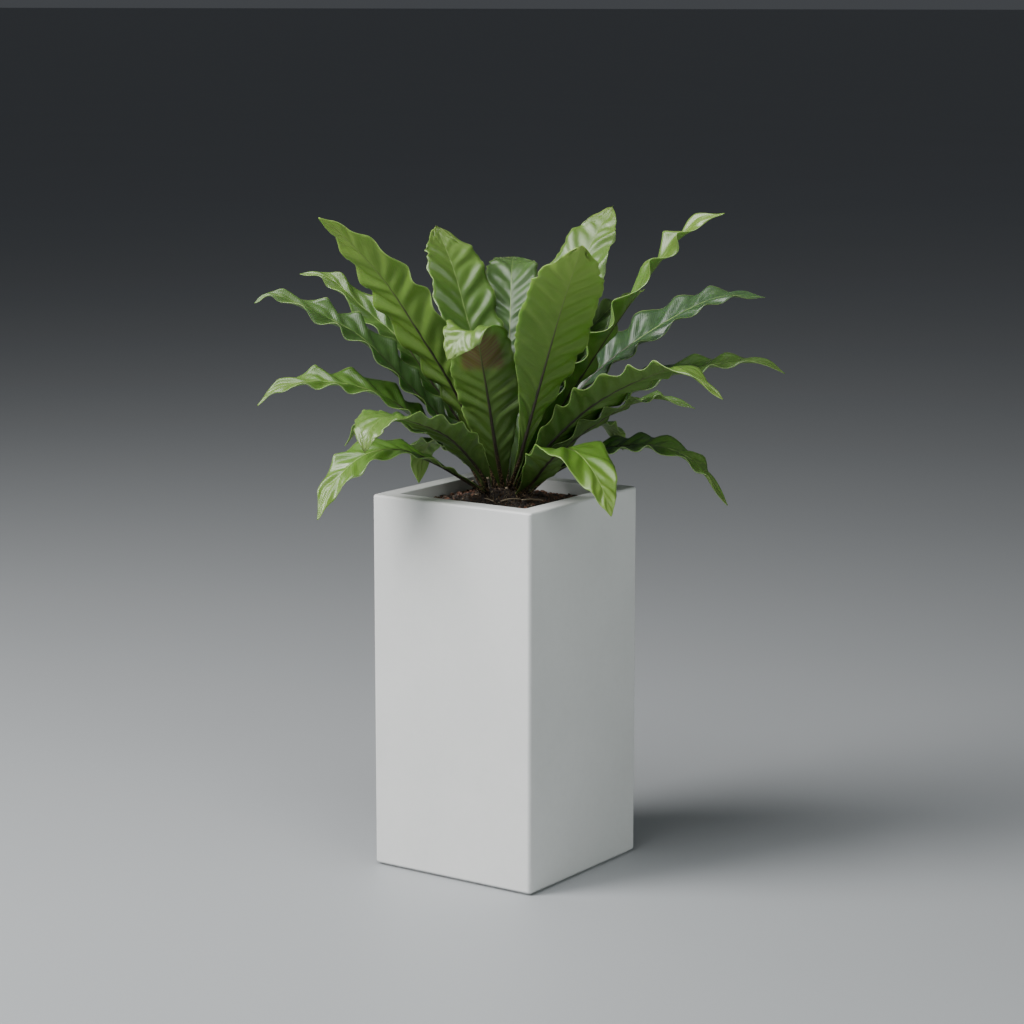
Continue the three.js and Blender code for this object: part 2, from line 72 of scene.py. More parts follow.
# Each frond leaves the crown towards `turn` (degrees, anticlockwise from +X), at `ring` from its centre.
# `midrib` holds points (out, up, aside) from the crown's middle at the planter's rim, in millimetres.
# `roll` turns the blade about its midrib, from base to tip; `cup` raises both margins.
# `waves` counts the ruffles along a margin, `ruffle` is how far they swing, `blunt` rounds the tip (1) or
# squares it (2), and `tone` goes from fresh yellow-green (0) to deep blue-green (1). `shape` says where
# the blade is widest and how slim it stays below that.
FRONDS = [
    dict(name="frond_left_tall", turn=244, ring=14, width=110, roll=(10, 35), cup=12, waves=9, ruffle=7,
         tone=0.12, blunt=0, midrib=[(64, 112), (100, 180), (150, 255), (210, 340), (275, 408), (320, 440)]),
    dict(name="frond_left_upper", turn=195, ring=23, width=72, roll=(-20, -25), cup=20, waves=8, ruffle=7.5,
         tone=0.5, blunt=0, shape=(0.56, 1.6),
         midrib=[(75, 98), (125, 165), (175, 228), (235, 275), (300, 325), (350, 330)]),
    dict(name="frond_left_inner", turn=172, ring=23, width=75, roll=(-10, -20), cup=20, waves=7, ruffle=6,
         tone=0.85, blunt=0, shape=(0.56, 1.8),
         midrib=[(62, 74), (112, 126), (160, 180), (212, 228), (265, 256)]),
    dict(name="frond_left_middle", turn=221, ring=23, width=80, roll=(-20, -25), cup=20, waves=9, ruffle=7.5,
         tone=0.7, blunt=0, shape=(0.56, 1.4),
         midrib=[(60, 70), (145, 160), (220, 240), (290, 282), (360, 312), (390, 300)]),
    dict(name="frond_left_low", turn=226, ring=33, width=74, roll=(-16, -20), cup=18, waves=8, ruffle=6.5,
         tone=0.4, blunt=0, midrib=[(70, 60), (130, 108), (205, 160), (290, 180), (355, 172), (390, 145)]),
    dict(name="frond_front_arching", turn=260, ring=33, width=112, roll=(15, 0), cup=10, waves=8, ruffle=4,
         tone=0.45, blunt=1, midrib=[(60, 40), (120, 95), (185, 125), (250, 142), (288, 125), (300, 92)]),
    dict(name="frond_front_drooping", turn=243, ring=33, width=84, roll=(0, -20), cup=10, waves=7, ruffle=5,
         tone=0.25, blunt=0, midrib=[(60, 14), (125, 53), (190, 78), (250, 72), (300, 30), (325, -20)]),
    dict(name="frond_back_left_hanging", turn=190, ring=33, width=62, roll=(0, 0), cup=10, waves=6, ruffle=5,
         tone=0.5, blunt=0, midrib=[(60, 40), (130, 82), (190, 100), (250, 92), (287, 52)]),
    dict(name="frond_back_left_low", turn=162, ring=33, width=78, roll=(0, 0), cup=8, waves=6, ruffle=4,
         tone=0.4, blunt=0, midrib=[(65, 25), (130, 55), (190, 58), (225, 30), (238, -20)]),
    dict(name="frond_back_tall", turn=156, ring=14, width=108, roll=(0, 0), cup=14, waves=9, ruffle=4,
         tone=0.42, blunt=2, midrib=[(42, 125), (80, 195), (120, 260), (165, 338), (220, 402)]),
    dict(name="frond_back_centre", turn=122, ring=14, width=92, roll=(0, 0), cup=14, waves=8, ruffle=4,
         tone=0.8, blunt=2, shape=(0.56, 1.4),
         midrib=[(52, 98), (95, 188), (140, 274), (185, 332), (243, 348)]),
    dict(name="frond_centre_broad", turn=325, ring=14, width=114, roll=(-10, -15), cup=10, waves=9, ruffle=4,
         tone=0.1, blunt=1, shape=(0.68, 2.3),
         midrib=[(60, 55), (125, 148), (190, 240), (250, 322), (325, 413)]),
    dict(name="frond_right_tall", turn=82, ring=14, width=106, roll=(10, 15), cup=12, waves=9, ruffle=5,
         tone=0.4, blunt=1, midrib=[(50, 100), (90, 195), (138, 278), (200, 375), (255, 435)]),
    dict(name="frond_front_folded", turn=287, ring=14, width=102, roll=(14, 8), cup=8, waves=8, ruffle=4,
         tone=0.3, blunt=1, spores=1,
         midrib=[(52, 78), (86, 154), (114, 210), (140, 256), (158, 268, -8), (169, 250, -24), (173, 222, -38)]),
    dict(name="frond_right_twisted", turn=13, ring=14, width=100, roll=(-30, 35), cup=16, waves=8, ruffle=11,
         tone=0.22, blunt=0, midrib=[(58, 85), (115, 170), (175, 260), (250, 365), (305, 425), (355, 445)]),
    dict(name="frond_right_hidden", turn=77, ring=23, width=70, roll=(5, 5), cup=16, waves=8, ruffle=6,
         tone=0.6, blunt=0, shape=(0.56, 1.8), midrib=[(62, 105), (140, 205), (225, 270), (305, 297)]),
    dict(name="frond_right_back", turn=44, ring=23, width=88, roll=(15, 20), cup=20, waves=9, ruffle=6,
         tone=1.0, blunt=0, midrib=[(80, 105), (140, 180), (235, 250), (335, 298), (415, 298)]),
    dict(name="frond_right_far", turn=30, ring=33, width=86, roll=(12, 10), cup=12, waves=8, ruffle=6,
         tone=0.6, blunt=0, midrib=[(80, 75), (150, 130), (240, 182), (320, 202), (395, 208), (435, 190)]),
    dict(name="frond_right_front", turn=352, ring=23, width=96, roll=(-25, -5), cup=12, waves=9, ruffle=7,
         tone=0.35, blunt=0, midrib=[(60, 50), (115, 102), (185, 155), (275, 200), (355, 222), (435, 185)]),
    dict(name="frond_right_lower", turn=9, ring=33, width=72, roll=(-5, 0), cup=10, waves=7, ruffle=6,
         tone=0.7, blunt=0, midrib=[(60, 35), (120, 90), (190, 138), (255, 162), (320, 150)]),
    dict(name="frond_right_drooping", turn=26, ring=36, width=82, roll=(8, 8), cup=10, waves=7, ruffle=5,
         tone=0.5, blunt=0, midrib=[(70, 26), (135, 62), (190, 75), (245, 75), (300, 50), (350, -15)]),
    dict(name="frond_front_right", turn=336, ring=33, width=98, roll=(-15, 10), cup=8, waves=6, ruffle=5,
         tone=0.15, blunt=0, midrib=[(75, 20), (130, 64), (180, 90), (230, 80), (278, 45), (305, 5)]),
    dict(name="frond_back_arching", turn=100, ring=23, width=88, roll=(0, 0), cup=14, waves=8, ruffle=6,
         tone=0.6, blunt=0, shape=(0.56, 1.8),
         midrib=[(60, 80), (120, 150), (190, 195), (275, 205), (340, 170)]),
    dict(name="frond_back_middle", turn=139, ring=23, width=86, roll=(0, 0), cup=14, waves=8, ruffle=6,
         tone=0.5, blunt=0, shape=(0.56, 1.8),
         midrib=[(60, 80), (120, 145), (195, 190), (275, 200), (335, 165)]),
    dict(name="frond_back_low", turn=122, ring=33, width=84, roll=(0, 0), cup=10, waves=7, ruffle=5,
         tone=0.5, blunt=0, midrib=[(60, 35), (125, 85), (200, 112), (270, 98), (320, 45)]),
    dict(name="frond_back_right_low", turn=78, ring=33, width=80, roll=(0, 0), cup=10, waves=7, ruffle=5,
         tone=0.55, blunt=0, midrib=[(60, 32), (125, 74), (185, 88), (235, 72), (262, 36)]),
]

# Cut stalks of old fronds: (turn, ring, lean outwards in degrees, length)
OLD_STALKS = [(228, 39, 35, 26), (272, 39, 22, 34), (306, 39, 40, 22), (60, 40, 35, 24), (177, 40, 30, 26)]

# Dry roots and twigs on the soil: (x, y, direction in degrees, length)
TWIGS = [(36, -38, 62, 36), (6, -55, 160, 26), (61, -15, 37, 34)]

# Fineness of a frond's mesh
STATIONS = 132
ACROSS = 28
RIB_SIDES = 8
VEIN_SLANT = math.radians(52)  # between a side vein and the midrib
TIP_NICKS = (14, 9)  # how deep the broad and the fine nicks cut a blunt tip
SCALES, ROOTS = 1000, 60  # on the crown


# ---------------------------------------------------------------- helpers

def smoothstep(x, low=0.0, high=1.0):
    t = np.clip((x - low) / (high - low), 0.0, 1.0)
    return t * t * (3 - 2 * t)


def mesh_object(name, points, faces, materials, indices=None, smooth=True):
    mesh = bpy.data.meshes.new(name)
    mesh.from_pydata([tuple(p) for p in points], [], [tuple(f) for f in faces])
    for material in materials:
        mesh.materials.append(material)
    if indices is not None:
        mesh.polygons.foreach_set("material_index", np.asarray(indices, dtype=np.int32))
    mesh.polygons.foreach_set("use_smooth", np.full(len(faces), smooth))
    mesh.update()
    thing = bpy.data.objects.new(name, mesh)
    bpy.context.scene.collection.objects.link(thing)
    return thing


def dress(piece, node):
    """The piece stands in the place of that CAD node."""
    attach(piece, "root")
    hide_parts(node)


class Parts:
    """Gathers points, faces and material indices of several shells for one mesh."""

    def __init__(self):
        self.points, self.faces, self.looks = [], [], []

    def add(self, points, faces, look):
        start = len(self.points)
        self.points.extend(points)
        self.faces.extend([tuple(start + k for k in face) for face in faces])
        self.looks.extend([look] * len(faces) if isinstance(look, int) else look)


def tube(path, radii, sides=8):
    """A closed tube along points, with a radius at each."""
    path = [Vector(p) for p in path]
    points, faces = [], []
    side = None
    for k, here in enumerate(path):
        along = (path[min(k + 1, len(path) - 1)] - path[max(k - 1, 0)]).normalized()
        if side is None:
            side = along.orthogonal().normalized()
        side = (side - along * side.dot(along)).normalized()
        other = along.cross(side)
        for step in range(sides):
            angle = math.tau * step / sides
            points.append(here + (side * math.cos(angle) + other * math.sin(angle)) * radii[k])
    for k in range(len(path) - 1):
        for step in range(sides):
            a, b = k * sides + step, k * sides + (step + 1) % sides
            faces.append((a, b, b + sides, a + sides))
    faces.append(tuple(reversed(range(sides))))
    last = (len(path) - 1) * sides
    faces.append(tuple(last + step for step in range(sides)))
    return points, faces


# ---------------------------------------------------------------- materials

class Look:
    """A material and its node tree, built up by short calls."""

    def __init__(self, name):
        self.material = bpy.data.materials.new(name)
        self.material.use_nodes = True
        self.nodes = self.material.node_tree.nodes
        self.links = self.material.node_tree.links
        self.shader = self.nodes["Principled BSDF"]

    def node(self, kind, **settings):
        made = self.nodes.new(kind)
        for key, value in settings.items():
            setattr(made, key, value)
        return made

    def put(self, source, target):
        """Links an output to a socket, or sets a plain value on it."""
        if isinstance(source, bpy.types.NodeSocket):
            self.links.new(source, target)
        else:
            target.default_value = source

    def noise(self, scale, detail=4.0, roughness=0.55, vector=None):
        made = self.node("ShaderNodeTexNoise")
        made.inputs["Scale"].default_value = scale
        made.inputs["Detail"].default_value = detail
        made.inputs["Roughness"].default_value = roughness
        self.put(vector or self.position(), made.inputs["Vector"])
        return made.outputs["Fac"]

    def position(self):
        return self.node("ShaderNodeTexCoord").outputs["Object"]

    def uv(self, name):
        made = self.node("ShaderNodeUVMap")
        made.uv_map = name
        return made.outputs["UV"]

    def ramp(self, factor, stops):
        made = self.node("ShaderNodeValToRGB")
        elements = made.color_ramp.elements
        while len(elements) < len(stops):
            elements.new(0.5)
        for element, (place, colour) in zip(elements, stops):
            element.position = place
            element.color = (*colour, 1.0) if len(colour) == 3 else colour
        self.put(factor, made.inputs["Fac"])
        return made.outputs["Color"]

    def grey(self, factor, low, high, from_low=0.0, from_high=1.0):
        made = self.node("ShaderNodeMapRange")
        self.put(factor, made.inputs["Value"])
        limits = (from_low, from_high, low, high)
        for socket, value in zip(("From Min", "From Max", "To Min", "To Max"), limits):
            made.inputs[socket].default_value = value
        return made.outputs["Result"]

    def maths(self, operation, a, b=0.0, c=0.0):
        made = self.node("ShaderNodeMath", operation=operation)
        for socket, value in zip(made.inputs, (a, b, c)):
            self.put(value, socket)
        return made.outputs[0]

    def mix(self, factor, a, b, blend="MIX"):
        made = self.node("ShaderNodeMix", data_type="RGBA", blend_type=blend)
        self.put(factor, made.inputs[0])
        self.put(a, made.inputs[6])
        self.put(b, made.inputs[7])
        return made.outputs[2]

    def split(self, vector):
        made = self.node("ShaderNodeSeparateXYZ")
        self.put(vector, made.inputs[0])
        return made.outputs

    def bump(self, height, distance, strength=1.0):
        made = self.node("ShaderNodeBump")
        made.inputs["Distance"].default_value = distance
        made.inputs["Strength"].default_value = strength
        self.put(height, made.inputs["Height"])
        self.links.new(made.outputs["Normal"], self.shader.inputs["Normal"])

    def set(self, **sockets):
        for key, value in sockets.items():
            self.put(value, self.shader.inputs[key.replace("_", " ")])


def colour(r, g, b):
    return (r, g, b, 1.0)


def leaf_look(name, under):
    """The blade's skin. Its maps run along and across the frond, follow the side veins, and give its tone."""
    look = Look(name)
    along, *_ = look.split(look.uv("Blade"))
    slant, away, _ = look.split(look.uv("Veins"))
    tone, spores, _ = look.split(look.uv("Mood"))
    # Along the blade the green runs from dark at the base to light at the tip. This is partly the frond's own
    # colour and partly painted: painted shade deep in the rosette, and painted light glowing through the tip.
    if under:
        fresh = look.ramp(along, [(0.0, (0.036, 0.078, 0.010)), (0.35, (0.064, 0.132, 0.014)),
                                  (0.70, (0.104, 0.205, 0.018)), (1.0, (0.225, 0.365, 0.050))])
        deep = look.ramp(along, [(0.0, (0.022, 0.042, 0.015)), (0.4, (0.046, 0.082, 0.026)),
                                 (1.0, (0.090, 0.148, 0.050))])
        pale = (0.21, 0.30, 0.07)
    else:
        fresh = look.ramp(along, [(0.0, (0.030, 0.070, 0.010)), (0.35, (0.062, 0.145, 0.014)),
                                  (0.70, (0.098, 0.195, 0.020)), (1.0, (0.170, 0.270, 0.036))])
        deep = look.ramp(along, [(0.0, (0.009, 0.026, 0.009)), (0.4, (0.016, 0.044, 0.018)),
                                 (1.0, (0.048, 0.094, 0.038))])
        pale = (0.13, 0.23, 0.055)
    green = look.mix(tone, fresh, deep)
    cloud = look.noise(9.0, 3.0)
    green = look.mix(look.grey(cloud, 0.0, 0.5, 0.45, 0.75), green,
                     look.mix(0.5, green, colour(0.030, 0.060, 0.012)))
    fine = look.noise(60.0, 5.0)
    green = look.mix(look.grey(fine, 0.0, 0.22, 0.5, 0.8), green, colour(*pale))
    vein = look.maths("PINGPONG", look.maths("MULTIPLY", slant, 1 / 0.0030), 0.5)
    line = look.grey(vein, 1.0, 0.0, 0.0, 0.14)
    green = look.mix(look.maths("MULTIPLY", line, 0.14), green, colour(*pale))
    if under:
        stripe = look.maths("PINGPONG", look.maths("MULTIPLY", slant, 1 / 0.0062), 0.5)
        stripe = look.grey(stripe, 1.0, 0.55, 0.12, 0.34)
        green = look.mix(look.maths("MULTIPLY", look.maths("MULTIPLY", spores, stripe), 0.95), green,
                         colour(0.125, 0.060, 0.030))
    edge = look.grey(away, 0.0, 0.5, 0.972, 0.998)
    green = look.mix(edge, green, colour(0.27, 0.37, 0.12))
    look.set(Base_Color=green)
    rough = (0.46, 0.60) if under else (0.28, 0.42)
    look.set(Roughness=look.grey(look.noise(24.0, 4.0), *rough, 0.35, 0.7))
    look.set(Subsurface_Weight=0.25, Subsurface_Scale=0.004, Subsurface_Radius=(0.5, 1.0, 0.2))
    look.set(Specular_IOR_Level=0.35 if under else 0.6)
    height = look.maths("ADD", look.maths("MULTIPLY", vein, 0.8), look.maths("MULTIPLY", fine, 0.5))
    look.bump(height, 0.0006, 0.5)
    return look.material


def rib_look(name, under):
    look = Look(name)
    along, _, _ = look.split(look.uv("Blade"))
    if under:
        stops = [(0.0, (0.012, 0.008, 0.006)), (0.45, (0.018, 0.012, 0.008)), (0.62, (0.045, 0.050, 0.014)),
                 (0.80, (0.13, 0.20, 0.035)), (1.0, (0.20, 0.30, 0.06))]
    else:
        stops = [(0.0, (0.05, 0.045, 0.015)), (0.2, (0.14, 0.21, 0.05)), (0.6, (0.24, 0.36, 0.10)),
                 (1.0, (0.26, 0.38, 0.11))]
    speckle = look.noise(180.0, 3.0)
    skin = look.mix(look.grey(speckle, 0.0, 0.4, 0.5, 0.8), look.ramp(along, stops), colour(0.09, 0.07, 0.03))
    scales = look.maths("MULTIPLY", look.grey(look.noise(330.0, 2.0), 0.0, 1.0, 0.52, 0.60),
                        look.grey(along, 1.0, 0.0, 0.04, 0.20))
    look.set(Base_Color=look.mix(scales, skin, colour(0.30, 0.20, 0.11)))
    look.set(Roughness=look.grey(speckle, 0.35, 0.55))
    look.bump(look.noise(300.0, 3.0), 0.0003, 0.5)
    return look.material


def stone_look():
    """Smooth moulded mineral planter, very slightly clouded and handled."""
    look = Look("planter_stone")
    cloud = look.noise(3.0, 5.0, 0.6)
    fine = look.noise(90.0, 6.0, 0.6)
    base = look.mix(look.grey(cloud, 0.0, 1.0, 0.35, 0.7), colour(0.640, 0.650, 0.645),
                    colour(0.700, 0.705, 0.700))
    base = look.mix(look.grey(fine, 0.0, 0.18, 0.45, 0.75), base, colour(0.56, 0.57, 0.56))
    look.set(Base_Color=base)
    look.set(Roughness=look.grey(look.noise(14.0, 5.0), 0.42, 0.58, 0.3, 0.7))
    look.bump(look.maths("ADD", look.maths("MULTIPLY", fine, 0.4), look.noise(420.0, 3.0)), 0.00018, 0.5)
    return look.material


def grain_look(name, dark, light, scale=220.0, roughness=0.9):
    look = Look(name)
    grain = look.noise(scale, 5.0, 0.65)
    look.set(Base_Color=look.mix(look.grey(grain, 0.0, 1.0, 0.35, 0.7), colour(*dark), colour(*light)))
    look.set(Roughness=look.grey(grain, roughness - 0.12, roughness))
    look.bump(look.noise(scale * 2, 4.0), 0.0009, 0.7)
    return look.material


def floor_look():
    look = Look("studio_floor")
    look.set(Base_Color=look.mix(look.noise(0.7, 3.0), colour(0.345, 0.360, 0.375),
                                 colour(0.370, 0.385, 0.400)))
    look.set(Roughness=0.55)
    return look.material


# ---------------------------------------------------------------- fronds

def crown_height(radius):
    return SOIL_AT_CROWN + 2.3 + CROWN_HEIGHT * (1 - (radius / CROWN_RADIUS) ** 2)


def midrib_curve(frond, u):
    """Places and directions along a frond's midrib, evenly by length, in millimetres."""
    turn = math.radians(frond["turn"])
    out = np.array([math.cos(turn), math.sin(turn), 0.0])
    aside = np.array([-math.sin(turn), math.cos(turn), 0.0])
    foot = (frond["ring"], crown_height(frond["ring"]) - HEIGHT + 2)
    knots = []
    for away, up, *side in [foot, *frond["midrib"]]:
        knots.append(out * away + aside * (side[0] if side else 0.0) + np.array([0, 0, HEIGHT + up]))
    knots = [2 * knots[0] - knots[1], *knots, 2 * knots[-1] - knots[-2]]
    dense = []
    for k in range(1, len(knots) - 2):
        a, b, c, d = knots[k - 1:k + 3]
        for t in np.linspace(0, 1, 40, endpoint=False):
            start, end = 0.5 * (c - a), 0.5 * (d - b)
            dense.append(b + start * t + (3 * (c - b) - 2 * start - end) * t ** 2
                         + (2 * (b - c) + start + end) * t ** 3)
    dense.append(knots[-2])
    dense = np.array(dense)
    run = np.concatenate([[0], np.cumsum(np.linalg.norm(np.diff(dense, axis=0), axis=1))])
    place = np.stack([np.interp(u * run[-1], run, dense[:, k]) for k in range(3)], axis=1)
    along = np.gradient(place, axis=0)
    along /= np.linalg.norm(along, axis=1)[:, None]
    return place, along, aside, run[-1]


def blade_width(u, frond):
    widest, slim = frond.get("shape", (0.56, 1))
    x = np.clip(u / widest, 0, 1)
    spread = (0.5 * smoothstep(x) + 0.5 * (1 - (1 - x) ** 2)) ** slim
    past = np.clip((u - widest) / (1 - widest), 0, 1)
    taper = (1 - past ** 1.9, (1 - past ** 2.9) ** 0.6, (1 - past ** 4.5) ** 0.5)[frond["blunt"]]
    return STALK + (frond["width"] - STALK) * spread * taper + (1.5 - STALK) * past


def turned(vectors, axes, angles):
    """Vectors turned about unit axes by angles, row by row."""
    c, s = np.cos(angles)[:, None], np.sin(angles)[:, None]
    dots = np.sum(vectors * axes, axis=1)[:, None]
    return vectors * c + np.cross(axes, vectors) * s + axes * dots * (1 - c)


def drift(u, seed, scale):
    return np.array([noise.noise(Vector((scale * x, seed, 0.3))) for x in u])


def frond_grid(frond, seed):
    """The middle surface of a blade, and the maps that its materials read."""
    u = np.linspace(0, 1, STATIONS + 1)
    u = u ** 0.94
    t = np.linspace(-1, 1, ACROSS + 1)
    v = t * (0.62 + 0.38 * t * t)
    place, along, aside, length = midrib_curve(frond, u)
    across = aside[None, :] - along * (along @ aside)[:, None]
    across /= np.linalg.norm(across, axis=1)[:, None]
    roll = np.radians(frond["roll"][0] + (frond["roll"][1] - frond["roll"][0]) * u) * np.minimum(1, 4 * u)
    across = turned(across, along, roll)
    face = np.cross(along, across)
    half = blade_width(u, frond)[:, None] / 2
    a = np.abs(v)[None, :]
    side = np.sign(v)[None, :]
    wander = 0.5 * drift(u, seed, 5.0)[:, None]
    nibble = (0.05 if frond["blunt"] else 0.02) * (1 + 2 * smoothstep(u, 0.75, 0.95)[:, None])
    outline = (1 + 0.06 * drift(u, seed + 7.3, 11.0)[:, None]
               + 0.06 * side * drift(u, seed + 3.1, 8.0)[:, None]
               + nibble * side * drift(u, seed + 5.7, 34.0)[:, None]
               + nibble * drift(u, seed + 9.2, 52.0)[:, None])
    slope = (frond["width"] / 2) / math.tan(VEIN_SLANT) / length
    swell = (smoothstep(u, 0.06, 0.42) * np.minimum(1, 6 * (1 - u)))[:, None]
    beat = frond["waves"] * (u[:, None] - slope * a) + 0.25 * side + wander
    lively = 1 + 0.6 * drift(u, seed + 1.7, 7.0)[:, None] + 0.3 * side * drift(u, seed + 2.9, 6.0)[:, None]
    swing = frond["ruffle"] * swell * lively
    lift = swing * (np.sin(math.tau * beat) * a ** 1.5 + 0.10 * np.sin(2 * math.tau * beat + side) * a ** 2)
    pleat = np.sin(2 * math.tau * beat + 1.2 * drift(u, seed + 4.4, 16.0)[:, None])
    lift += (1.9 + 0.8 * drift(u, seed + 6.1, 9.0)[:, None]) * pleat * np.sin(math.pi * a ** 0.8) * swell
    fine = np.sin(math.tau * 6.3 * (beat + 0.4 * drift(u, seed + 8.8, 20.0)[:, None]))
    lift += 0.28 * fine * np.sqrt(np.maximum(a - 0.06, 0)) * swell
    cup = math.radians(frond["cup"])
    lift = lift + half * a * math.sin(cup) * (1 - 0.4 * u[:, None])
    reach = half * v[None, :] * math.cos(cup) * outline
    lean = swing * 0.22 * np.cos(math.tau * beat) * a ** 2
    ran = u[:, None] * length + lean
    if frond["blunt"]:
        nicks = (TIP_NICKS[0] * np.abs(drift(v, seed + 2.3, 5.0))
                 + TIP_NICKS[1] * np.abs(drift(v, seed + 6.6, 13.0)))
        ran = ran - (0.42 * half * a ** 1.3 + nicks[None, :]) * smoothstep(u, 0.85, 1.0)[:, None]

    def follow(values):
        flat = [np.interp(ran.ravel(), u * length, values[:, k]) for k in range(3)]
        return np.stack(flat, axis=1).reshape(*ran.shape, 3)

    beyond = np.maximum(ran - length, 0)[..., None] * along[-1]
    grid = follow(place) + beyond + follow(across) * reach[..., None] + follow(face) * lift[..., None]
    wide = np.ones_like(ran)
    spots = smoothstep(u, 0.59, 0.64)[:, None] * (1 - smoothstep(u, 0.76, 0.80)[:, None])
    spots = spots * (1 - smoothstep(a, 0.55, 0.75)) * frond.get("spores", 0)
    maps = {
        "Blade": np.stack([u[:, None] * wide, (v[None, :] * 0.5 + 0.5) * wide], axis=-1),
        "Veins": np.stack([(u[:, None] * length - half * a / math.tan(VEIN_SLANT)) * MM * wide, a * wide],
                          axis=-1),
        "Mood": np.stack([frond["tone"] * wide, spots * wide], axis=-1),
    }
    return grid * MM, maps, length


def surface_normals(grid):
    along = np.gradient(grid, axis=0)
    across = np.gradient(grid, axis=1)
    normals = np.cross(along, across)
    return normals / np.maximum(np.linalg.norm(normals, axis=2), 1e-12)[..., None]


def make_frond(frond, seed, looks):
    """A thin closed blade with a raised midrib on both faces."""
    grid, maps, length = frond_grid(frond, seed)
    rows, columns = grid.shape[:2]
    normals = surface_normals(grid)
    a = np.abs(np.linspace(-1, 1, columns))[None, :, None]
    half_thick = (0.45 + 0.35 * (1 - a)) * MM
    upper, lower = grid + normals * half_thick, grid - normals * half_thick
    count = rows * columns
    points = np.concatenate([upper.reshape(-1, 3), lower.reshape(-1, 3)])
    faces, index, corners = [], [], []
    flat_maps = {name: values.reshape(-1, 2) for name, values in maps.items()}

    def quad(a, b, c, d, look):
        faces.append((a, b, c, d))
        index.append(look)
        corners.extend((a, b, c, d))

    for i in range(rows - 1):
        for k in range(columns - 1):
            p = i * columns + k
            quad(p, p + columns, p + columns + 1, p + 1, 0)
            quad(count + p, count + p + 1, count + p + columns + 1, count + p + columns, 1)
        left, right = i * columns, i * columns + columns - 1
        quad(left, count + left, count + left + columns, left + columns, 0)
        quad(right, right + columns, count + right + columns, count + right, 0)
    last = (rows - 1) * columns
    for k in range(columns - 1):
        quad(k, k + 1, count + k + 1, count + k, 0)
        quad(last + k, count + last + k, count + last + k + 1, last + k + 1, 0)
    map_of = {name: [flat[c % count] for c in corners] for name, flat in flat_maps.items()}

    parts = Parts()
    parts.points = [tuple(p) for p in points]
    parts.faces = faces
    parts.looks = index
    u = maps["Blade"][:, 0, 0]
    for sign, look, thick, tip in ((-1, 3, 3.6, 0.5), (1, 2, 1.5, 0.4)):
        radii = (thick * (1 - u) ** 1.25 + tip * (1 - 0.6 * u)) * MM
        centre = columns // 2
        skin = grid[:, centre] + normals[:, centre] * sign * (half_thick[0, centre] - 0.35 * radii[:, None])
        keep = slice(0, rows - 2)
        ring, rib_faces = tube(skin[keep], radii[keep], RIB_SIDES)
        parts.add([tuple(p) for p in ring], rib_faces, look)
        for rib_face in rib_faces:
            for corner in rib_face:
                station = min(corner // RIB_SIDES, rows - 1)
                map_of["Blade"].append((u[station], 0.5))
                map_of["Veins"].append((u[station] * length * MM, 0.0))
                map_of["Mood"].append((frond["tone"], 0.0))
    piece = mesh_object(frond["name"] + "_leaf", parts.points, parts.faces, looks, parts.looks)
    for name, values in map_of.items():
        layer = piece.data.uv_layers.new(name=name)
        layer.data.foreach_set("uv", np.asarray(values, dtype=np.float32).reshape(-1))
    dress(piece, frond["name"])
    return piece


# ---------------------------------------------------------------- planter

def rounded_square(half, radius, z, steps=8):
    points = []
    for corner in range(4):
        cx = (half - radius) * (1 if corner in (0, 3) else -1)
        cy = (half - radius) * (1 if corner < 2 else -1)
        for step in range(steps + 1):
            angle = math.radians(corner * 90 + 90 * step / steps)
            points.append((cx + radius * math.cos(angle), cy + radius * math.sin(angle), z))
    return points


def square_turning(profile):
    rings = [rounded_square(*level) for level in profile]
    count = len(rings[0])
    points = [tuple(c * MM for c in p) for ring in rings for p in ring]
    faces = []
    for ring in range(len(rings) - 1):
        for k in range(count):
            a, b = ring * count + k, ring * count + (k + 1) % count
            faces.append((a, b, b + count, a + count))
    faces.append(tuple(reversed(range(count))))
    last = (len(rings) - 1) * count
    faces.append(tuple(last + k for k in range(count)))
    return points, faces


def quarter_round(half, z, start, steps=6):
    levels = []
    for step in range(steps + 1):
        angle = math.radians(start + 90 * step / steps)
        levels.append((half + EDGE * math.cos(angle), CORNER, z + EDGE * math.sin(angle)))
    return levels


def make_planter(look):
    lip = 1.6
    inner_lip = [(RIM_INSIDE + lip * (1 - math.sin(math.radians(step * 22.5))), CORNER,
                  HEIGHT - lip * (1 - math.cos(math.radians(step * 22.5)))) for step in range(5)]
    points, faces = square_turning([
        (HALF - FOOT_INSET, CORNER, 0),
        (HALF - FOOT_INSET, CORNER, FOOT_HEIGHT),
        *quarter_round(HALF - EDGE, FOOT_HEIGHT + EDGE, -90),
        *quarter_round(HALF - EDGE, HEIGHT - EDGE, 0),
        *inner_lip,
        (RIM_INSIDE, CORNER, HEIGHT - RIM_DEPTH),
        (CAVITY, CORNER, HEIGHT - RIM_DEPTH),
        (CAVITY, CORNER, FLOOR),
    ])
    shell = mesh_object("planter_shell", points, faces, [look])
    for x in (-DRAIN_AT, DRAIN_AT):
        for y in (-DRAIN_AT, DRAIN_AT):
            path = [(x * MM, y * MM, -0.01), (x * MM, y * MM, (FLOOR + 10) * MM)]
            cutter = mesh_object("drain_cutter", *tube(path, [DRAIN_RADIUS * MM] * 2, 32), [])
            cut = shell.modifiers.new("drain", "BOOLEAN")
            cut.operation, cut.solver, cut.object = "DIFFERENCE", "EXACT", cutter
            bake_modifiers(shell)
            bpy.data.objects.remove(cutter)
    shell.data.set_sharp_from_angle(angle=math.radians(40))
    shell.modifiers.new("flat_faces", "WEIGHTED_NORMAL").keep_sharp = True
    dress(shell, "planter")
    return shell


def bake_modifiers(piece):
    graph = bpy.context.evaluated_depsgraph_get()
    graph.update()
    made = bpy.data.meshes.new_from_object(piece.evaluated_get(graph))
    piece.modifiers.clear()
    piece.data = made


# ---------------------------------------------------------------- soil, crown and litter

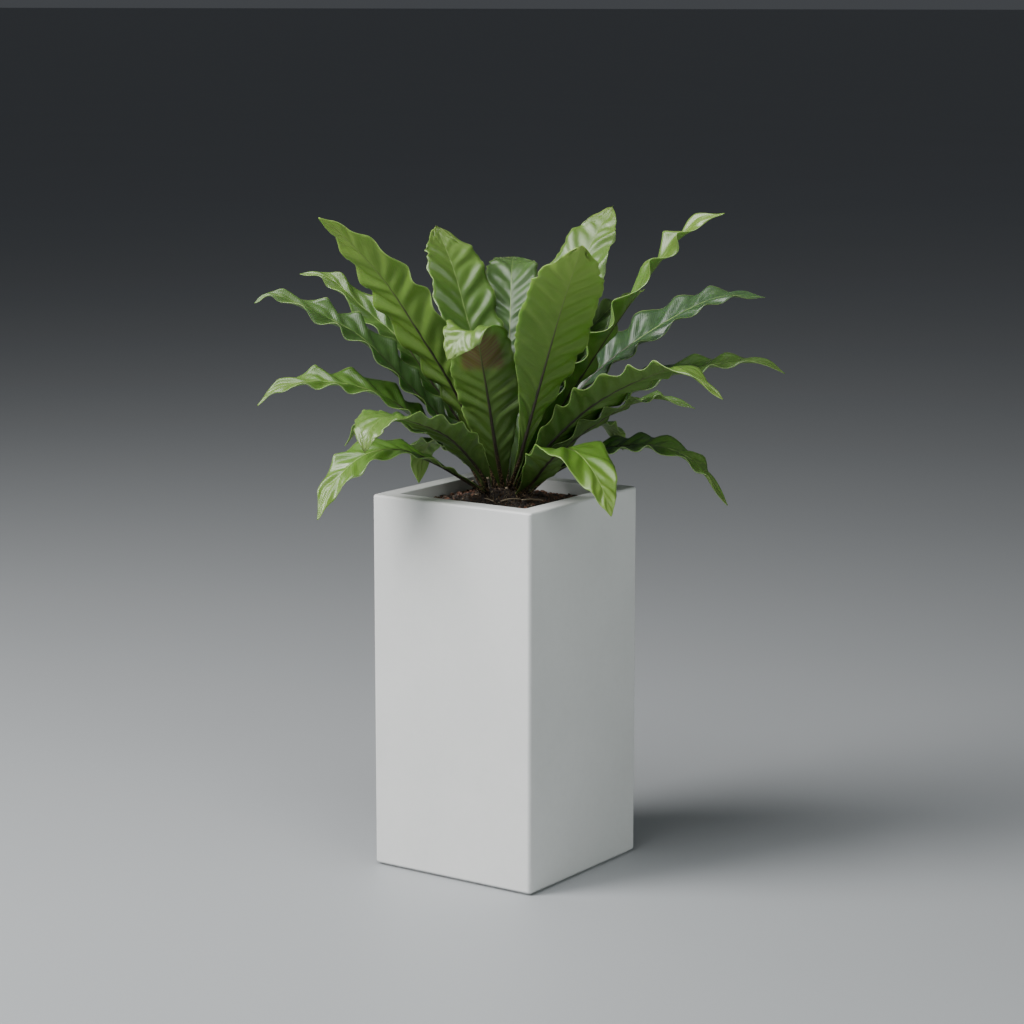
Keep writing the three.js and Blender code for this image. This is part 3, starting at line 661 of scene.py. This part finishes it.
def soil_height(x, y):
    away = math.hypot(x, y)
    t = min(max((away - CROWN_RADIUS - 4) / (RIM_INSIDE - CROWN_RADIUS - 4), 0), 1)
    smooth = t * t * (3 - 2 * t)
    return SOIL_AT_WALL + (SOIL_AT_CROWN - SOIL_AT_WALL) * (1 - smooth)


def lump(centre, size, rng, flat=1.0):
    """A small broken grain: an icosahedron pulled out of shape."""
    golden = (1 + 5 ** 0.5) / 2
    raw = [(-1, golden, 0), (1, golden, 0), (-1, -golden, 0), (1, -golden, 0),
           (0, -1, golden), (0, 1, golden), (0, -1, -golden), (0, 1, -golden),
           (golden, 0, -1), (golden, 0, 1), (-golden, 0, -1), (-golden, 0, 1)]
    faces = [(0, 11, 5), (0, 5, 1), (0, 1, 7), (0, 7, 10), (0, 10, 11), (1, 5, 9), (5, 11, 4), (11, 10, 2),
             (10, 7, 6), (7, 1, 8), (3, 9, 4), (3, 4, 2), (3, 2, 6), (3, 6, 8), (3, 8, 9), (4, 9, 5),
             (2, 4, 11), (6, 2, 10), (8, 6, 7), (9, 8, 1)]
    turn = Matrix.Rotation(rng.uniform(0, math.tau), 3, "Z") @ Matrix.Rotation(rng.uniform(-0.6, 0.6), 3, "X")
    stretch = Vector((rng.uniform(0.7, 1.5), rng.uniform(0.6, 1.0), flat * rng.uniform(0.6, 1.0)))
    points = []
    for p in raw:
        q = Vector(p).normalized() * size * rng.uniform(0.75, 1.2)
        q = turn @ Vector((q.x * stretch.x, q.y * stretch.y, q.z * stretch.z))
        points.append(tuple((Vector(centre) + q) * MM))
    return points, faces


def make_soil(looks):
    rng = random.Random(11)
    half = RIM_INSIDE - 0.5
    steps = 96
    parts = Parts()
    points = []
    for j in range(steps + 1):
        for i in range(steps + 1):
            x, y = half * (2 * i / steps - 1), half * (2 * j / steps - 1)
            rough = (2.2 * noise.noise(Vector((x / 14, y / 14, 0)))
                     + 1.2 * noise.noise(Vector((x / 5, y / 5, 4))))
            points.append((x * MM, y * MM, (soil_height(x, y) - 1.0 + rough) * MM))
    row = steps + 1
    faces = [(j * row + i, j * row + i + 1, (j + 1) * row + i + 1, (j + 1) * row + i)
             for j in range(steps) for i in range(steps)]
    edge = [k for k in range(steps)] + [k * row + steps for k in range(steps)]
    edge += [steps * row + k for k in range(steps, 0, -1)] + [k * row for k in range(steps, 0, -1)]
    wide, low = CAVITY - 0.5, GRAVEL_TOP + 0.5
    under = HEIGHT - RIM_DEPTH - 0.5
    base = len(points)
    for level, reach in ((under, 1.0), (under, wide / half), (low, wide / half)):
        points += [(points[k][0] * reach, points[k][1] * reach, level * MM) for k in edge]
    count = len(edge)
    for k in range(count):
        n = (k + 1) % count
        faces.append((edge[n], edge[k], base + k, base + n))
        for level in range(2):
            a, b = base + level * count + k, base + level * count + n
            faces.append((b, a, a + count, b + count))
    faces.append(tuple(base + 2 * count + k for k in reversed(range(count))))
    parts.add(points, faces, 0)
    for _ in range(3400):
        x, y = rng.uniform(-1, 1) * (half - 4), rng.uniform(-1, 1) * (half - 4)
        size = rng.choice((1.0, 1.3, 1.7, 2.3, 3.4)) * rng.uniform(0.7, 1.2)
        reddish = 0.45 if math.hypot(x, y) > 80 else 0.12
        pick = rng.random()
        look = (3 if pick < 0.02 else 2 if pick < 0.02 + reddish
                else 1 if pick < 0.6 - 0.2 * (reddish < 0.2) else 0)
        if look == 3:
            size *= 0.8
        spot = (x, y, soil_height(x, y) + size * rng.uniform(-0.2, 0.7))
        parts.add(*lump(spot, size, rng, 0.8), look)
    piece = mesh_object("potting_soil_loose", parts.points, parts.faces, looks, parts.looks, smooth=False)
    dress(piece, "potting_soil")
    return piece


def make_crown(looks):
    """The rootstock: a dark knobbly dome bristling with brown scales and a few fine roots."""
    rng = random.Random(5)
    parts = Parts()
    rings, spokes = 20, 72
    points = [(0, 0, (SOIL_AT_CROWN + 0.5) * MM)]
    for ring in range(rings):
        radius = CROWN_RADIUS * (1 - ring / rings)
        for spoke in range(spokes):
            angle = math.tau * spoke / spokes
            x, y = radius * math.cos(angle), radius * math.sin(angle)
            knob = 1.6 * noise.noise(Vector((x / 6, y / 6, 9))) * min(1, ring / 3)
            points.append((x * MM, y * MM, (crown_height(radius) + knob - 0.6) * MM))
    faces = [(0, 1 + (k + 1) % spokes, 1 + k) for k in range(spokes)]
    for ring in range(rings - 1):
        for k in range(spokes):
            a, b = 1 + ring * spokes + k, 1 + ring * spokes + (k + 1) % spokes
            faces.append((a, b, b + spokes, a + spokes))
    last_ring = len(points) - spokes
    points.append((0, 0, crown_height(0) * MM))
    faces += [(last_ring + k, last_ring + (k + 1) % spokes, len(points) - 1) for k in range(spokes)]
    parts.add(points, faces, 0)
    for _ in range(SCALES):
        angle, radius = rng.uniform(0, math.tau), CROWN_RADIUS * rng.uniform(0.1, 1.0) ** 0.6
        out = Vector((math.cos(angle), math.sin(angle), 0))
        foot = out * radius + Vector((0, 0, crown_height(radius) - 1.2))
        lean = (out * rng.uniform(-0.1, 0.6) + Vector((0, 0, 1))
                + Vector((rng.uniform(-0.3, 0.3), rng.uniform(-0.3, 0.3), 0))).normalized()
        length, width = rng.uniform(3, 8), rng.uniform(0.5, 1.5)
        across = lean.cross(out).normalized() * width
        bow = out * rng.uniform(0.2, 1.6)
        ring = [foot - across, foot + across, foot + lean * length * 0.5 + across * 0.8 + bow,
                foot + lean * length * 0.5 - across * 0.8 + bow, foot + lean * length + bow * 0.3]
        back = [p - out * 0.35 for p in ring]
        shell = [tuple(p * MM) for p in ring + back]
        scale_faces = [(0, 1, 2, 3), (3, 2, 4), (6, 5, 8, 7), (7, 8, 9), (1, 0, 5, 6), (2, 1, 6, 7),
                       (4, 2, 7, 9), (3, 4, 9, 8), (0, 3, 8, 5)]
        parts.add(shell, scale_faces, rng.choice((0, 0, 0, 1, 1, 2, 3)))
    for _ in range(ROOTS):
        angle = rng.uniform(0, math.tau)
        path, here = [], Vector((math.cos(angle), math.sin(angle), 0)) * CROWN_RADIUS * 0.9
        way = angle + rng.uniform(-1.0, 1.0)
        for step in range(9):
            z = max(soil_height(here.x, here.y), crown_height(min(here.length, CROWN_RADIUS))
                    if here.length < CROWN_RADIUS else 0) + 0.8 + 1.2 * abs(math.sin(step * 0.9))
            path.append((here.x * MM, here.y * MM, z * MM))
            way += rng.uniform(-0.5, 0.5)
            here = here + Vector((math.cos(way), math.sin(way), 0)) * rng.uniform(2.5, 5)
            here.x, here.y = max(-112, min(112, here.x)), max(-112, min(112, here.y))
        radii = [rng.uniform(0.35, 0.6) * MM * (1 - 0.08 * k) for k in range(9)]
        parts.add(*tube(path, radii, 5), rng.choice((1, 2, 2, 3)))
    piece = mesh_object("crown_scaly", parts.points, parts.faces, looks, parts.looks, smooth=True)
    dress(piece, "crown")
    return piece


def make_old_stalk(number, stalk, looks):
    """A cut stalk: dark, flaking, with a pale broken top and cream patches."""
    turn, ring, lean, length = stalk
    turn, lean = math.radians(turn), math.radians(lean)
    foot = Vector((ring * math.cos(turn), ring * math.sin(turn), crown_height(ring) + 4))
    way = Vector((math.sin(lean) * math.cos(turn), math.sin(lean) * math.sin(turn), math.cos(lean)))
    rows, sides = 22, 16
    parts = Parts()
    points = []
    side = way.orthogonal().normalized()
    other = way.cross(side)
    for k in range(rows + 1):
        u = k / rows
        for step in range(sides):
            angle = math.tau * step / sides
            rough = 1 + 0.22 * noise.noise(Vector((3 * math.cos(angle), 3 * math.sin(angle), 6 * u + number)))
            radius = (3.0 - 1.0 * u) * rough
            ragged = 1.8 * noise.noise(Vector((2 * math.cos(angle), 2 * math.sin(angle), number))) * (u ** 6)
            points.append(foot + way * (length * u + ragged) + (side * math.cos(angle)
                                                                + other * math.sin(angle)) * radius)
    faces, index = [], []
    for k in range(rows):
        for step in range(sides):
            a, b = k * sides + step, k * sides + (step + 1) % sides
            faces.append((a, b, b + sides, a + sides))
            flake = noise.noise(Vector((step * 0.7, k * 0.45, number * 3.0)))
            index.append(1 if flake > 0.22 or k == rows - 1 else 0)
    faces += [tuple(reversed(range(sides))), tuple(rows * sides + s for s in range(sides))]
    index += [0, 1]
    parts.add([tuple(p * MM) for p in points], faces, index)
    piece = mesh_object(f"old_stalk_{number}_dry", parts.points, parts.faces, looks, parts.looks)
    dress(piece, f"old_stalk_{number}")


def make_twig(number, twig, look):
    x, y, direction, length = twig
    rng = random.Random(40 + number)
    way = math.radians(direction)
    path, radii = [], []
    for step in range(15):
        u = step / 14 - 0.5
        bend = 2.2 * math.sin(3.5 * u + number)
        px = x + u * length * math.cos(way) - bend * math.sin(way)
        py = y + u * length * math.sin(way) + bend * math.cos(way)
        path.append((px * MM, py * MM, (soil_height(x, y) + 6 + 1.2 * math.cos(4 * u)) * MM))
        radii.append((1.15 - 0.5 * (u + 0.5)) * rng.uniform(0.85, 1.15) * MM)
    piece = mesh_object(f"twig_{number}_dry", *tube(path, radii, 8), [look])
    dress(piece, f"twig_{number}")


# ---------------------------------------------------------------- studio

def make_camera():
    data = bpy.data.cameras.new("camera")
    data.lens, data.sensor_width = LENS, 36
    camera = bpy.data.objects.new("camera", data)
    camera.location = CAMERA_AT
    camera.rotation_euler = (math.radians(90 - CAMERA_DOWN), 0, math.radians(CAMERA_AZIMUTH))
    bpy.context.scene.collection.objects.link(camera)
    bpy.context.scene.camera = camera


def area_light(name, at, aim, size, power, tint=(1, 1, 1)):
    data = bpy.data.lights.new(name, "AREA")
    data.shape, data.size, data.energy, data.color = "DISK", size, power, tint
    lamp = bpy.data.objects.new(name, data)
    lamp.location = at
    lamp.rotation_euler = (Vector(aim) - Vector(at)).to_track_quat("-Z", "Y").to_euler()
    bpy.context.scene.collection.objects.link(lamp)


def make_studio():
    size = 400
    floor = mesh_object("floor", [(-size, -size, 0), (size, -size, 0), (size, size, 0), (-size, size, 0)],
                        [(0, 1, 2, 3)], [floor_look()])
    aim = (0, 0, 0.6)
    area_light("key", (-2.2, -3.0, 3.0), aim, 2.6, 305, (1.0, 0.992, 0.97))
    area_light("top", (0.0, -1.2, 3.1), (0, 0, 0.5), 1.8, 72)
    area_light("fill", (3.8, -1.6, 1.7), aim, 2.6, 64, (0.94, 1.0, 0.955))
    world = bpy.data.worlds.new("studio")
    world.use_nodes = True
    back = world.node_tree.nodes["Background"]
    back.inputs["Color"].default_value = (0.060, 0.064, 0.070, 1)
    back.inputs["Strength"].default_value = 1.0
    bpy.context.scene.world = world


# ---------------------------------------------------------------- assembly

make_camera()
make_studio()

leaf_looks = [leaf_look("leaf_upper", False), leaf_look("leaf_under", True),
              rib_look("midrib_upper", False), rib_look("midrib_under", True)]
for number, frond in enumerate(FRONDS):
    make_frond(frond, 10.0 * number + 1.3, leaf_looks)

make_planter(stone_look())
soil_dark = grain_look("soil_dark", (0.024, 0.020, 0.018), (0.078, 0.062, 0.052))
soil_brown = grain_look("soil_brown", (0.045, 0.030, 0.021), (0.130, 0.082, 0.050))
bark_red = grain_look("bark_red", (0.100, 0.045, 0.030), (0.260, 0.125, 0.080))
pale_chip = grain_look("pale_chip", (0.26, 0.20, 0.13), (0.46, 0.38, 0.27))
make_soil([soil_dark, soil_brown, bark_red, pale_chip])
scale_brown = grain_look("scale_brown", (0.035, 0.018, 0.009), (0.12, 0.065, 0.03))
scale_pale = grain_look("scale_pale", (0.16, 0.10, 0.055), (0.36, 0.27, 0.16))
make_crown([soil_dark, soil_brown, scale_brown, scale_pale])
for number, stalk in enumerate(OLD_STALKS, 1):
    make_old_stalk(number, stalk, [soil_dark, pale_chip])
for number, twig in enumerate(TWIGS, 1):
    make_twig(number, twig, pale_chip)

clay = grain_look("fired_clay", (0.17, 0.06, 0.03), (0.33, 0.14, 0.08), 90.0)
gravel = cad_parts["drainage_layer"]
gravel.data.materials.clear()
gravel.data.materials.append(clay)
